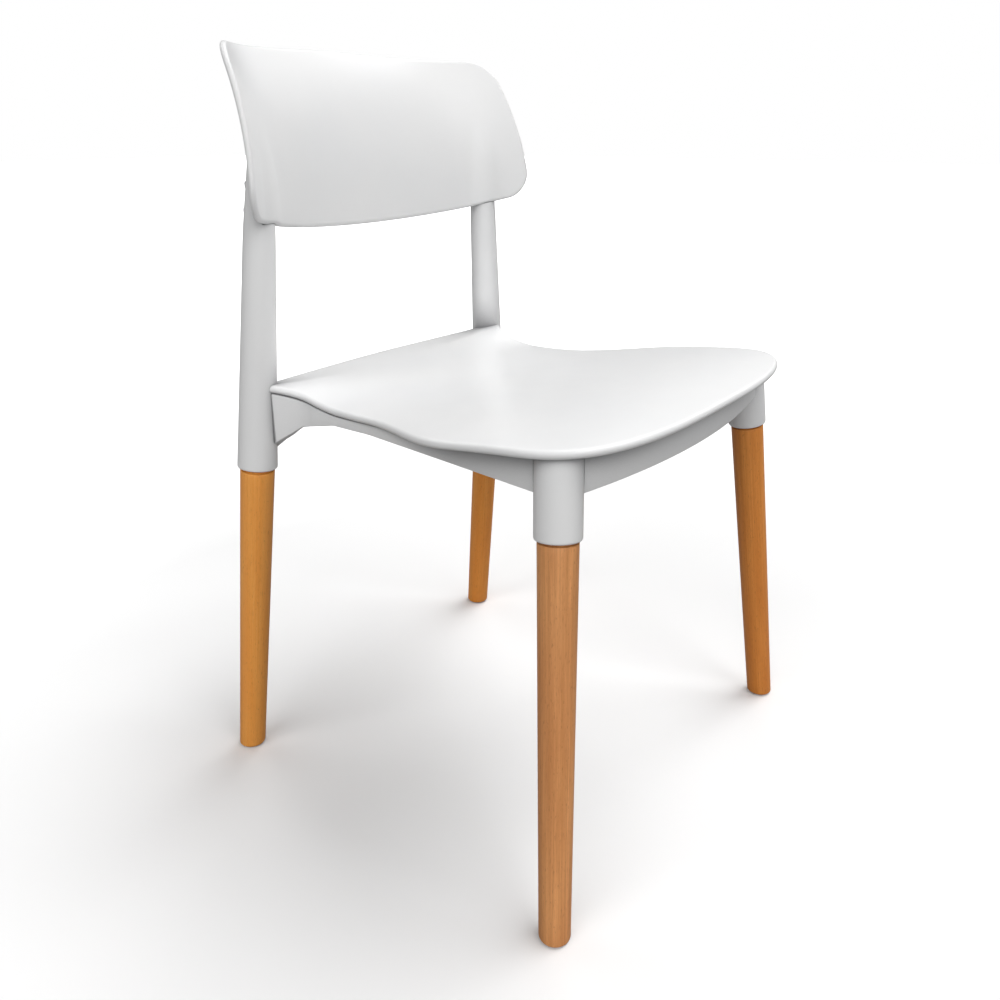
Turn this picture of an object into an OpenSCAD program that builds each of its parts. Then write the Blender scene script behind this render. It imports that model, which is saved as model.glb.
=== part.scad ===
// Dining chair: moulded seat and curved backrest on four splayed round wooden legs.
// The chair faces -Y and +Z is up. Left and right are as seen from its front, so right is +X.

/* [Seat] */
// Half of the seat's greatest width, at the middle of its rolled rim
seat_half_w = 218.5; // [214:0.5:221]
// Half of the seat's width at its waist, ahead of the uprights
waist_half_w = 172; // [170:0.5:174]
// Distance of the front rim ahead of the seat's datum
seat_front = 227.5; // [225:0.5:230]
// Distance of the back rim behind the seat's datum
seat_back = 212; // [209:0.5:214]
// Height of the front rim at the middle plane
front_rim_h = 450.5; // [449:0.5:453]
// Height of the rim at the waist, where the side edges dip
waist_rim_h = 425; // [423:0.5:427]
// Radius of the rolled rim
rim_r = 4; // [3.5:0.25:4.5]
// Wall thickness of the seat shell
shell_t = 4.5; // [4:0.25:5]

/* [Legs] */
// Distance of a front foot's centre from the middle plane
front_foot_x = 245; // [242:1:248]
// Distance of a rear foot's centre from the middle plane
rear_foot_x = 221.5; // [219:0.5:224]
// Radius of a leg at the floor
leg_foot_r = 14.8; // [14:0.1:15.2]
// Radius of a leg at the mouth of its socket
leg_top_r = 17.8; // [17:0.1:18.2]
// Radius of the round tenon on top of a leg
tenon_r = 12.5; // [11:0.5:13]
// Length of that tenon
tenon_l = 36; // [30:1:38]

/* [Uprights] */
// Outer radius of the sockets that hold the legs
socket_r = 20.6; // [20:0.1:21]
// Radius of an upright at the backrest's lower edge
neck_r = 15.6; // [15.2:0.1:16.2]
// Radius of an upright's tip behind the backrest
tip_r = 11; // [10:0.5:12]

/* [Backrest] */
// Radius of the backrest's middle part, seen along its slope
back_r = 500; // [496:1:504]
// Radius of its two wings, seen along its slope
wing_r = 238; // [234:1:242]
// Angle at which the middle of the backrest leans back
back_lean = 15.1; // [14.8:0.1:15.4]
// Height of the backrest at its wings, measured along its slope
back_h = 153.5; // [151:0.5:156]
// Thickness of the backrest
back_t = 6; // [5.5:0.25:6.5]

/* [Rails] */
// Wall thickness of the rails
rail_t = 5; // [4.5:0.25:5.5]
// Height of the rails' lower edge
rail_low = 410; // [408:0.5:411]

/* [Hidden] */
$fn = 64;

plastic_color = "white";
beech_color = [0.80, 0.58, 0.38];
steel_color = "silver";
glide_color = "gainsboro";

// The datum of the y dimensions lies this far from the middle of the chair's footprint.
datum_y = -19.2;
gap = 0.2;
eps = 0.01;
big = 600;

// Right-hand places; the left ones are mirrored.
front_foot = [front_foot_x, -215.5, 0];
front_ring = [198, -178, 372.5];
rear_foot = [rear_foot_x, 235, 0];
rear_ring = [201.2, 195.8, 355];
neck = [177.5, 185.5, 592];
socket_top = 446;

// Hardware.
bolt_r = 4;
bolt_l = 50;
bolt_in_leg = 34;
insert_r = 6;
insert_l = 14;
screw_r = 2.5;
screw_head_r = 5;
screw_head_l = 3.5;
cap_r = 5.5;
cap_l = 1.6;
foot_h = 1;
glide_r = 9;
glide_recess = 3;

// ---------- placing ----------

// Puts the origin under the middle of the chair's box.
module on_floor() { translate([0, datum_y, 0]) children(); }

// Flips a right-hand piece to the side asked for: 1 is right, -1 is left.
module flip(side) { mirror([side < 0 ? 1 : 0, 0, 0]) children(); }
module on_side(side) { on_floor() flip(side) children(); }

// Puts the local origin at p with the local z axis pointing to q.
module aim(p, q) {
  d = q - p;
  translate(p) rotate([0, acos(d[2] / norm(d)), atan2(d[1], d[0])]) children();
}

function foot(end) = end == "front" ? front_foot : rear_foot;
function ring(end) = end == "front" ? front_ring : rear_ring;

// Turn about a leg's axis that keeps the seams of its round surfaces off its flat cuts.
seam_turn = 45;

// Stands at the mouth of a socket, with z up the axis of its leg.
module at_ring(end) {
  aim(ring(end), 2 * ring(end) - foot(end)) rotate(seam_turn) children();
}

// ---------- seat surface ----------

corner_y = -135;
corner_power = 3.1;
hip_y = [-80, 58];
taper_y = [10, 120];
waist_taper = 5;
ear_y = 172;
ear_start = 138;
ear_flare = 17;
ear_rise_start = 100;
ear_rise = 15.5;
ear_dip = 4;
ear_end = 200;
back_bow = 15;
back_bow_half = 164;
back_half = 174;
corner_rim_h = 451;
side_dip_y = [-222, 90];
middle_dip_y = [-200, 70];
middle_dip = 19;
middle_back_rise = 1;

// Half a cosine wave that runs from 0 at a to 1 at b and is flat outside them.
function ease(v, a, b) = (1 - cos(180 * min(1, max(0, (v - a) / (b - a))))) / 2;

// Curve that starts flat at a, steepens, and reaches 1 at b.
function ramp(v, a, b, power) = pow(min(1, max(0, (v - a) / (b - a))), power);

// Half width of the rim behind the front corners: hips, a slow taper to the waist, and the ears.
function side_x(y) =
  seat_half_w - (seat_half_w - waist_half_w - waist_taper) * ease(y, hip_y[0], hip_y[1])
  - waist_taper * ease(y, taper_y[0], taper_y[1]) + ear_flare * ramp(y, ear_start, ear_y, 2);

// Height of the side rim, of the middle line, and of the surface between them.
function side_h(y) =
  corner_rim_h - (corner_rim_h - waist_rim_h) * ease(y, side_dip_y[0], side_dip_y[1])
  + ear_rise * ramp(y, ear_rise_start, ear_y, 1.5) - ear_dip * ease(y, ear_y, ear_end);
function middle_h(y) =
  front_rim_h - middle_dip * ease(y, middle_dip_y[0], middle_dip_y[1])
  + middle_back_rise * ease(y, middle_dip_y[1], seat_back);
function seat_h(x, y) =
  let (q = min(1, abs(x) / side_x(max(y, corner_y))))
  middle_h(y) + (side_h(y) - middle_h(y)) * pow(q, 2.5);

// Centre line of the rim on the right half, from the front to the back.
front_steps = 18;
side_steps = 18;
back_steps = 8;
front_depth = seat_front + corner_y;
function front_point(i) =
  let (a = 90 * i / front_steps, k = 2 / corner_power)
  [seat_half_w * pow(sin(a), k), corner_y - front_depth * pow(cos(a), k)];
function side_point(i) =
  let (y = ear_y + (corner_y - ear_y) * pow(1 - i / side_steps, 1.5))
  [side_x(y), y];
function back_point(i) =
  let (x = back_half * (1 - i / back_steps))
  [x, seat_back - back_bow * pow(x / back_bow_half, 2)];
right_rim = concat(
  [for (i = [0:front_steps]) front_point(i)],
  [for (i = [1:side_steps]) side_point(i)],
  [for (i = [0:back_steps]) back_point(i)]
);
rim = concat(
  right_rim,
  [for (i = [len(right_rim) - 2:-1:1]) [-right_rim[i][0], right_rim[i][1]]]
);
rim_count = len(rim);
seat_middle = [0, 90];

// A rim point moved out (d > 0) or in (d < 0) along its ray from the seat's middle.
function rim_shift(i, d) =
  let (v = rim[i] - seat_middle)
  seat_middle + v * (1 + d / norm(v));

// Rings round the shell: [fraction of the radius, shift of the edge, height above surface].
inner_steps = 7;
rings = concat(
  [for (k = [1:inner_steps]) [k / (inner_steps + 1), 0, rim_r]],
  [for (a = [90:-30:-90]) [1, rim_r * cos(a), rim_r * sin(a)]],
  [[1, -4, -rim_r], [1, -7, rim_r - shell_t]],
  [for (k = [inner_steps:-1:1]) [k / (inner_steps + 1), 0, rim_r - shell_t]]
);
function ring_point(r, i) =
  let (p = r[0] < 1 ? seat_middle + (rim_shift(i, -8) - seat_middle) * r[0] : rim_shift(i, r[1]))
  [p[0], p[1], seat_h(p[0], p[1]) + r[2]];

module seat_sheet() {
  last = len(rings) - 1;
  middle = [seat_middle[0], seat_middle[1], seat_h(seat_middle[0], seat_middle[1])];
  points = concat(
    [for (r = rings, i = [0:rim_count - 1]) ring_point(r, i)],
    [middle + [0, 0, rim_r], middle + [0, 0, rim_r - shell_t]]
  );
  top = len(points) - 2;
  low = len(points) - 1;
  polyhedron(points, concat(
    [for (k = [0:last - 1], i = [0:rim_count - 1])
      let (j = (i + 1) % rim_count, a = k * rim_count, b = a + rim_count)
      each [[a + i, a + j, b + j], [a + i, b + j, b + i]]],
    [for (i = [0:rim_count - 1]) [top, (i + 1) % rim_count, i]],
    [for (i = [0:rim_count - 1])
      [low, last * rim_count + i, last * rim_count + (i + 1) % rim_count]]
  ), convexity = 6);
}

// ---------- seat fixings ----------

// Tabs of the rails, right-hand side: [x, y, height of the tab's top].
boss_r = 6;
boss_bore_l = 10;
tab_t = 4;
tab_r = 9;
front_tab = [80, -184, 431];
side_tab_front = [168, -30, 421];
side_tab_rear = [150, 88, 417];
rear_tab = [80, 180, 419];
right_tabs = [front_tab, side_tab_front, side_tab_rear, rear_tab];
all_tabs = [for (p = right_tabs, s = [-1, 1]) [s * p[0], p[1], p[2]]];

// A tab with a screw hole, reaching back to its rail at the given angle.
module tab(p, angle, reach) {
  translate(p - [0, 0, tab_t]) rotate(angle) linear_extrude(tab_t) difference() {
    union() {
      circle(r = tab_r);
      translate([0, -tab_r]) square([reach, 2 * tab_r]);
    }
    circle(r = screw_r + gap);
  }
}

module seat_shell() {
  color(plastic_color) on_floor() difference() {
    union() {
      seat_sheet();
      for (p = all_tabs) translate(p)
        cylinder(r = boss_r, h = seat_h(p[0], p[1]) + rim_r - 1.5 - p[2]);
    }
    for (p = all_tabs) translate(p - [0, 0, 1]) cylinder(r = screw_r, h = boss_bore_l + 1);
    for (s = [-1, 1]) flip(s) upright_skin(gap * 2);
  }
}

module seat_screws() {
  color(steel_color) on_floor() for (p = all_tabs) translate(p - [0, 0, tab_t]) {
    translate([0, 0, -screw_head_l]) cylinder(r = screw_head_r, h = screw_head_l);
    translate([0, 0, -eps]) cylinder(r = screw_r, h = tab_t + boss_bore_l - 2);
  }
}

// ---------- uprights and sockets ----------

// Outside of a right-hand upright, made bigger all round by d.
tip_l = 72;
tip_chamfer = 5;
module upright_skin(d) {
  neck_l = norm(neck - rear_ring);
  aim(rear_ring, neck) rotate_extrude() polygon([
    [0, 0],
    [socket_r + d, 0],
    [neck_r + d, neck_l],
    [tip_r + d, neck_l + tip_l],
    [tip_r + d - tip_chamfer, neck_l + tip_l + tip_chamfer],
    [0, neck_l + tip_l + tip_chamfer]
  ]);
}

// Space for a leg's tenon and for the threaded insert above it.
module socket_bores(end) {
  at_ring(end) {
    translate([0, 0, -10]) cylinder(r = tenon_r + gap, h = tenon_l + 12);
    cylinder(r = insert_r, h = tenon_l + 2 + insert_l);
    cylinder(r = bolt_r + gap, h = tenon_l + 2 + insert_l + 6);
  }
}

module front_socket(side) {
  color(plastic_color) on_side(side) difference() {
    intersection() {
      at_ring("front") cylinder(r = socket_r, h = 90);
      translate([0, -big / 2, 0]) cube([big, big, socket_top]);
    }
    socket_bores("front");
    rail_screw_set() screw_space(0);
  }
}

module upright(side) {
  color(plastic_color) on_side(side) difference() {
    upright_skin(0);
    socket_bores("rear");
    rail_screw_set() screw_space(0);
    back_sheet(-60, back_t + gap / 2, 3);
    back_screw_set() {
      cylinder(r = screw_r, h = $seat + 1);
      translate([0, 0, $seat]) cylinder(r = cap_r, h = 30);
    }
  }
}

// ---------- backrest ----------

// The panel's lower edge: its middle lies at this height and distance behind the datum.
back_base = [0, 208.3, 591.9];
base_half = 233.4;
top_half = 205.2;
base_corner_r = 26.4;
top_corner_r = 24.8;
base_sag = 5.4;
top_crown = 26.7;
middle_half = 101;

// The backrest leans back less by this angle at 200 mm from its middle.
lean_loss = 3.1;

// Half way up its slope the backrest is bowed forward by this much.
back_arch = 11.5;

// Plan angle, reach to the side and reach forward at distance s along the panel.
middle_angle = middle_half / back_r * 180 / PI;
function plan_angle(s) =
  s < middle_half ? s / back_r * 180 / PI : middle_angle + (s - middle_half) / wing_r * 180 / PI;
function plan_x(s) =
  s < middle_half ? back_r * sin(plan_angle(s))
  : (back_r - wing_r) * sin(middle_angle) + wing_r * sin(plan_angle(s));
function plan_y(s) =
  s < middle_half ? back_r * (1 - cos(plan_angle(s)))
  : back_r - (back_r - wing_r) * cos(middle_angle) - wing_r * cos(plan_angle(s));

// Point at s along, v up the slope, and d behind the panel's front face.
function back_point_at(s, v, d) =
  let (
    a = abs(s),
    x = plan_x(a) + d * sin(plan_angle(a)),
    arch = back_arch * 4 * v / back_h * (1 - v / back_h),
    y = d * cos(plan_angle(a)) - plan_y(a) - arch,
    lean = back_lean - lean_loss * pow(s / 200, 2)
  )
  back_base + [s < 0 ? -x : x, y * cos(back_lean) + v * sin(lean),
    v * cos(lean) - y * sin(back_lean)];

// Half length of the panel at height v, with both corners rounded.
function corner_cut(u, r) = u >= r ? 0 : r - sqrt(r * r - (r - u) * (r - u));
function half_length(v) =
  let (t = v / back_h)
  base_half + (top_half - base_half) * t
  - corner_cut(v, base_corner_r) - corner_cut(back_h - v, top_corner_r);

// Slope position with the sag of the lower edge and the crown of the upper one.
function slope_v(s, v) =
  let (t = v / back_h, q = abs(s) / base_half)
  v + t * top_crown * (1 - pow(q, 1.53)) - (1 - t) * base_sag * (1 - pow(q, 2));

// Rows are closer together in the rounded corners.
corner_rows = 6;
side_rows = 6;
side_run = back_h - base_corner_r - top_corner_r;
function corner_rise(i, r) = r * (1 - cos(90 * i / corner_rows));
row_v = concat(
  [for (i = [0:corner_rows]) corner_rise(i, base_corner_r)],
  [for (k = [1:side_rows]) base_corner_r + k * side_run / (side_rows + 1)],
  [for (i = [corner_rows:-1:0]) back_h - corner_rise(i, top_corner_r)]
);
columns = 36;

// Solid between two depths behind the front face, made longer below by drop.
module back_sheet(front_d, rear_d, drop) {
  rows = len(row_v);
  wide = columns + 1;
  function sheet_point(d, r, c) =
    let (
      v = row_v[r],
      s = half_length(v) * (2 * c / columns - 1),
      lower = r == 0 ? drop : 0
    )
    back_point_at(s, slope_v(s, v) - lower, d);
  layer = rows * wide;
  polyhedron(
    concat(
      [for (r = [0:rows - 1], c = [0:columns]) sheet_point(front_d, r, c)],
      [for (r = [0:rows - 1], c = [0:columns]) sheet_point(rear_d, r, c)]
    ),
    concat(
      [for (r = [0:rows - 2], c = [0:columns - 1])
        let (a = r * wide + c, b = a + wide)
        each [
          [a, b, b + 1], [a, b + 1, a + 1],
          [layer + a, layer + b + 1, layer + b], [layer + a, layer + a + 1, layer + b + 1]
        ]],
      [for (c = [0:columns - 1])
        let (a = c, b = (rows - 1) * wide + c)
        each [
          [a, a + 1, layer + a + 1], [a, layer + a + 1, layer + a],
          [b, layer + b + 1, b + 1], [b, layer + b, layer + b + 1]
        ]],
      [for (r = [0:rows - 2])
        let (a = r * wide, b = r * wide + columns)
        each [
          [a, layer + a, layer + a + wide], [a, layer + a + wide, a + wide],
          [b, b + wide, layer + b + wide], [b, layer + b + wide, layer + b]
        ]]
    ), convexity = 6);
}

// Screws through the uprights' tips: [slope position, depth of the head behind the front face].
screws_at = [[14, 23], [36, 18.9]];
screw_s = 174;
front_skin = 1.5;

// Stands on the panel's front face at each right-hand screw, with z pointing out behind.
module back_screw_set() {
  for (place = screws_at) {
    $seat = place[1];
    aim(back_point_at(screw_s, place[0], 0), back_point_at(screw_s, place[0], 100)) children();
  }
}

module backrest_panel() {
  color(plastic_color) on_floor() difference() {
    back_sheet(0, back_t, 0);
    for (s = [-1, 1]) flip(s) back_screw_set()
      translate([0, 0, front_skin]) cylinder(r = screw_r, h = back_t);
  }
}

module back_screws() {
  color(steel_color) for (s = [-1, 1]) on_side(s) back_screw_set() {
    translate([0, 0, front_skin]) cylinder(r = screw_r, h = $seat - front_skin + eps);
    translate([0, 0, $seat]) cylinder(r = screw_head_r, h = screw_head_l);
  }
}

module back_screw_caps() {
  color(plastic_color) for (s = [-1, 1]) on_side(s) back_screw_set()
    translate([0, 0, $seat + screw_head_l]) cylinder(r = cap_r, h = cap_l);
}

// ---------- rails ----------

// Screws that hold the rails, right-hand side: [start, aim point] in plan, then two heights.
rail_screw_l = 20;
rail_screws_at = [
  [[162, -183], [191.8, -173], [419, 434]],
  [[190, -143], [191.8, -173], [419, 434]],
  [[176, 170.5], [195.5, 192], [402, 416]],
  [[162, 189.5], [195.5, 192], [415.5, 426]]
];

// Stands under the head of each right-hand rail screw, with z along its shank.
module rail_screw_set() {
  for (place = rail_screws_at, h = place[2])
    aim([place[0][0], place[0][1], h], [place[1][0], place[1][1], h]) children();
}
module screw_space(head_room) {
  translate([0, 0, -eps]) cylinder(r = screw_r, h = rail_screw_l + eps);
  if (head_room > 0)
    translate([0, 0, -head_room]) cylinder(r = screw_head_r + gap, h = head_room);
}
module rail_screws() {
  color(steel_color) for (s = [-1, 1]) on_side(s) rail_screw_set() {
    cylinder(r = screw_r, h = rail_screw_l);
    translate([0, 0, -screw_head_l]) cylinder(r = screw_head_r, h = screw_head_l + eps);
  }
}

// Cuts a rail back from the sockets, the uprights and the space of its screws.
module rail_cuts(head_room) {
  for (s = [-1, 1]) flip(s) {
    at_ring("front") cylinder(r = socket_r + gap, h = 100);
    upright_skin(gap);
    rail_screw_set() screw_space(head_room);
  }
}

// Front rail: a bowed wall with a block at each end.
bow_r = 818;
bow_front = -210.5;
block_x = 158;
block_depth = 34;
front_rail_top = 448;
module front_rail() {
  color(plastic_color) on_floor() difference() {
    union() {
      translate([0, 0, rail_low]) linear_extrude(front_rail_top - rail_low) intersection() {
        translate([0, bow_front + bow_r]) difference() {
          circle(r = bow_r, $fn = 720);
          difference() {
            circle(r = bow_r - rail_t, $fn = 720);
            for (s = [-1, 1]) translate([s * (block_x + 30) - 30, -bow_r]) square([60, 60]);
          }
        }
        translate([-195, bow_front]) square([390, block_depth]);
      }
      for (s = [-1, 1]) tab([s * front_tab[0], front_tab[1], front_tab[2]], -90, 20);
    }
    rail_cuts(12);
  }
}

// Rear rail: a straight wall between the uprights.
rear_rail_y = 190;
rear_rail_top = 431;
module rear_rail() {
  color(plastic_color) on_floor() difference() {
    union() {
      translate([-190, rear_rail_y, rail_low])
        cube([380, rail_t, rear_rail_top - rail_low]);
      for (s = [-1, 1]) {
        translate([s * (block_x + 15) - 15, rear_rail_y - 7, rail_low])
          cube([30, rail_t + 9, rear_rail_top - rail_low]);
        tab([s * rear_tab[0], rear_tab[1], rear_tab[2]], 90, rear_rail_y - rear_tab[1] + 1);
      }
    }
    rail_cuts(12);
  }
}

// Side rail: its outer face in plan, its lower and its upper edge, all by y.
bracket_y = 106;
bracket_drop = 9.2;
bracket_corner_y = 150;
bracket_slope = 0.73;
rail_waist_x = 174.2;
rail_waist_y = 58;
rail_spread = 0.1333;
rail_ear_flare = 18.5;
function rail_x(y) =
  rail_waist_x + rail_spread * max(0, rail_waist_y - y)
  + rail_ear_flare * ramp(y, ear_start, ear_y, 1.8);
function rail_bottom(y) =
  y < bracket_y ? rail_low
  : y < bracket_corner_y
  ? rail_low - bracket_drop * (y - bracket_y) / (bracket_corner_y - bracket_y)
  : rail_low - bracket_drop - bracket_slope * (y - bracket_corner_y);
function rail_top(y) = side_h(y) - rim_r - 0.5;
rail_y0 = -174;
rail_y1 = 192;
rail_steps = 48;
function rail_y(i) = rail_y0 + (rail_y1 - rail_y0) * i / rail_steps;

module side_rail_plan() {
  polygon(concat(
    [for (i = [0:rail_steps]) [rail_x(rail_y(i)), rail_y(i)]],
    [[180, rail_y1], [rail_x(160) - 14, 162], [rail_waist_x - rail_t, 146],
      [rail_waist_x - rail_t, rail_waist_y], [rail_x(-143) - rail_t, -143],
      [rail_x(-143) - 18, -143], [rail_x(-143) - 18, rail_y0]]
  ));
}
module side_rail_profile() {
  polygon(concat(
    [for (i = [0:rail_steps]) [rail_y(i), rail_bottom(rail_y(i))]],
    [for (i = [rail_steps:-1:0]) [rail_y(i), rail_top(rail_y(i))]]
  ));
}
module side_rail(side) {
  color(plastic_color) on_side(side) difference() {
    union() {
      intersection() {
        linear_extrude(big) side_rail_plan();
        rotate([90, 0, 90]) linear_extrude(big) side_rail_profile();
      }
      tab(side_tab_front, 0, rail_x(side_tab_front[1]) - side_tab_front[0] - 1);
      tab(side_tab_rear, 0, rail_x(side_tab_rear[1]) - side_tab_rear[0] - 1);
    }
    rail_cuts(12);
  }
}

// ---------- legs ----------

module leg(end, side) {
  long = norm(ring(end) - foot(end));
  under = 12;
  taper = (leg_top_r - leg_foot_r) / long;
  color(beech_color) on_side(side) difference() {
    intersection() {
      at_ring(end) {
        translate([0, 0, -long - under])
          cylinder(r1 = leg_foot_r - taper * under, r2 = leg_top_r, h = long + under);
        translate([0, 0, -eps]) cylinder(r = tenon_r, h = tenon_l + eps);
      }
      translate([0, -big / 2, foot_h]) cube([big, big, big]);
    }
    at_ring(end) translate([0, 0, tenon_l - bolt_in_leg]) cylinder(r = bolt_r, h = bolt_l);
    translate(foot(end)) cylinder(r = glide_r, h = foot_h + glide_recess);
  }
}

// Stands at the mouth of each of the four sockets.
module at_each_leg() {
  for (s = [-1, 1], end = ["front", "rear"]) on_side(s) at_ring(end) children();
}
module leg_bolts() {
  color(steel_color) at_each_leg()
    translate([0, 0, tenon_l - bolt_in_leg]) cylinder(r = bolt_r, h = bolt_l);
}
module socket_inserts() {
  color(steel_color) at_each_leg() translate([0, 0, tenon_l + 2]) difference() {
    cylinder(r = insert_r, h = insert_l);
    translate([0, 0, -1]) cylinder(r = bolt_r, h = insert_l + 2);
  }
}
module foot_glides() {
  color(glide_color) for (s = [-1, 1], end = ["front", "rear"])
    on_side(s) translate(foot(end)) cylinder(r = glide_r, h = foot_h + glide_recess);
}

seat_shell();
front_rail();
rear_rail();
side_rail(-1);  // side_rail_left
side_rail(1);  // side_rail_right
front_socket(-1);  // front_socket_left
front_socket(1);  // front_socket_right
upright(-1);  // upright_left
upright(1);  // upright_right
backrest_panel();
leg("front", -1);  // leg_front_left
leg("front", 1);  // leg_front_right
leg("rear", -1);  // leg_rear_left
leg("rear", 1);  // leg_rear_right
leg_bolts();
socket_inserts();
rail_screws();
seat_screws();
back_screws();
back_screw_caps();
foot_glides();
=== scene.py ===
"""Looks of the dining chair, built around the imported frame.

Shapes are worked out in millimetres about the seat's datum, as they were designed, and become
metres in the frame when a mesh is made. The chair faces -Y, +X is its right side seen from the
front, and +Z is up. Right-hand shapes are mirrored to make the left-hand ones.
"""

import math

import bmesh
import bpy
import numpy as np
from mathutils import Matrix, Vector


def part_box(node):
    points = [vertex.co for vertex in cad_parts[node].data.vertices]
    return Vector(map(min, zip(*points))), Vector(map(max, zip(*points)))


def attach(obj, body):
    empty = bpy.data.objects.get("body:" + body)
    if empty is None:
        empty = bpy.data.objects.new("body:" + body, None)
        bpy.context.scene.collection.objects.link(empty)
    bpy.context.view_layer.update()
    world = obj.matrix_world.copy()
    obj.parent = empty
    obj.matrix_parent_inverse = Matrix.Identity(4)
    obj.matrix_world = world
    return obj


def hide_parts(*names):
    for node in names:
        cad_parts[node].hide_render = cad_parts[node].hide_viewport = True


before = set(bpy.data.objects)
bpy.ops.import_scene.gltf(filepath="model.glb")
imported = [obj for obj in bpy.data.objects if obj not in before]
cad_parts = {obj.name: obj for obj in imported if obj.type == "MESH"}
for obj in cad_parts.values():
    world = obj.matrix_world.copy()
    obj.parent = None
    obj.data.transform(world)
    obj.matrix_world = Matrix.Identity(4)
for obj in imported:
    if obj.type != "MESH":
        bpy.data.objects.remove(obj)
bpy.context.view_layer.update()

MM = 0.001

# ---------- dimensions, in millimetres ----------

SEAT_HALF_W = 218.5
WAIST_HALF_W = 172
SEAT_FRONT = 227.5
SEAT_BACK = 212
FRONT_RIM_H = 450.5
CORNER_RIM_H = 451
WAIST_RIM_H = 425
RIM_R = 4
SHELL_T = 4.5
SIDE_DIP_Y = (-222, 90)
MIDDLE_DIP_Y = (-200, 70)
MIDDLE_DIP = 19
MIDDLE_BACK_RISE = 1
CORNER_Y = -135
CORNER_POWER = 3.1
HIP_Y = (-80, 58)
TAPER_Y = (10, 120)
TAPER = 5
EAR_START = 138
EAR_RISE_START = 100
EAR_Y = 172
EAR_END = 200
EAR_FLARE = 17
EAR_RISE = 15.5
EAR_DIP = 4
BACK_BOW = 15
BACK_BOW_HALF = 164

LEG_FOOT_R = 14.8
LEG_TOP_R = 17.8
TENON_R = 12.5
TENON_L = 36
GROOVE_DEPTH = 3.2
GROOVE_W = 2.0
GLIDE_HOLE_R = 9.1
SOCKET_R = 20.6
SOCKET_EDGE_R = 2.2
SOCKET_TOP = 446
NECK_R = 15.6
NECK_BLEND_R = 900
TIP_R = 11
TIP_L = 72
TIP_EDGE_R = 5
FRONT_FOOT = np.array([245, -215.5, 0.0])
FRONT_RING = np.array([198, -178, 372.5])
REAR_FOOT = np.array([221.5, 235, 0.0])
REAR_RING = np.array([201.2, 195.8, 355.0])
NECK = np.array([177.5, 185.5, 592.0])

BACK_R = 500
WING_R = 238
BACK_LEAN = math.radians(15.1)
LEAN_LOSS = math.radians(3.1)
LEAN_LOSS_S = 200
BACK_ARCH = 11.5
BACK_H = 153.5
BACK_T = 6
BACK_BASE = np.array([0, 208.3, 591.9])
BASE_HALF = 233.4
TOP_HALF = 205.2
BASE_CORNER_R = 26.4
TOP_CORNER_R = 24.8
BASE_SAG = 5.4
TOP_CROWN = 26.7
CROWN_POWER = 1.53
MIDDLE_HALF = 101

RAIL_T = 5
RAIL_LOW = 410
FRONT_RAIL_TOP = 448
REAR_RAIL_TOP = 431
REAR_RAIL_Y = 195
BOW_R = 818
BOW_FRONT = -210.5
BLOCK_X = 158
FRONT_BLOCK_Y = -143
FRONT_BLOCK_T = 18
BRACKET_Y = 106
BRACKET_DROP = 9.2
BRACKET_CORNER_Y = 150
BRACKET_SLOPE = 0.73
RAIL_WAIST_X = 174.2
RAIL_WAIST_Y = 58
RAIL_SPREAD = 28 / 210
RAIL_EAR_FLARE = 18.5
RAIL_EDGE_R = 1.2
BLOCK_EDGE = 0.3
RAIL_GAP = 0.2
SEAT_GAP = 0.3

# The datum's place in the frame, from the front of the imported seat.
DATUM_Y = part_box("seat_shell")[0].y / MM + SEAT_FRONT + RIM_R


# ---------- curves ----------


def ease(v, a, b):
    """Half a cosine wave that runs from 0 at a to 1 at b and is flat outside them."""
    return (1 - np.cos(math.pi * np.clip((v - a) / (b - a), 0, 1))) / 2


def ramp(v, a, b, power):
    """Curve that starts flat at a, steepens, and reaches 1 at b."""
    return np.clip((v - a) / (b - a), 0, 1) ** power


def resample(points, count):
    """Evenly spaced points along an open line."""
    points = np.asarray(points, float)
    run = np.concatenate([[0], np.cumsum(np.linalg.norm(np.diff(points, axis=0), axis=1))])
    at = np.linspace(0, run[-1], count)
    return np.stack([np.interp(at, run, c) for c in points.T], axis=1)


def closed_normals(loop):
    """Unit normals in the plane of a closed 2D loop that runs counterclockwise, pointing out."""
    t = np.roll(loop, -1, axis=0) - np.roll(loop, 1, axis=0)
    t /= np.linalg.norm(t, axis=1)[:, None]
    return np.stack([t[:, 1], -t[:, 0]], axis=1)


def rounded(corners, steps=6):
    """Line through (x, y, radius) corners, with an arc of that radius at each inner corner."""
    out = [corners[0][:2]]
    for before, here, after in zip(corners, corners[1:], corners[2:]):
        p, radius = np.array(here[:2], float), here[2]
        u = np.array(before[:2], float) - p
        w = np.array(after[:2], float) - p
        u, w = u / np.linalg.norm(u), w / np.linalg.norm(w)
        half = math.acos(np.clip(u @ w, -1, 1)) / 2
        if radius <= 0 or half > math.pi / 2 - 1e-3:
            out.append(tuple(p))
            continue
        middle = p + (u + w) / np.linalg.norm(u + w) * radius / math.sin(half)
        a, b = p + u * radius / math.tan(half), p + w * radius / math.tan(half)
        start = math.atan2(*(a - middle)[::-1])
        turn = (math.atan2(*(b - middle)[::-1]) - start + math.pi) % (2 * math.pi) - math.pi
        for k in range(steps + 1):
            angle = start + turn * k / steps
            out.append(tuple(middle + radius * np.array([math.cos(angle), math.sin(angle)])))
    out.append(corners[-1][:2])
    return out


# ---------- meshes ----------


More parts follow.
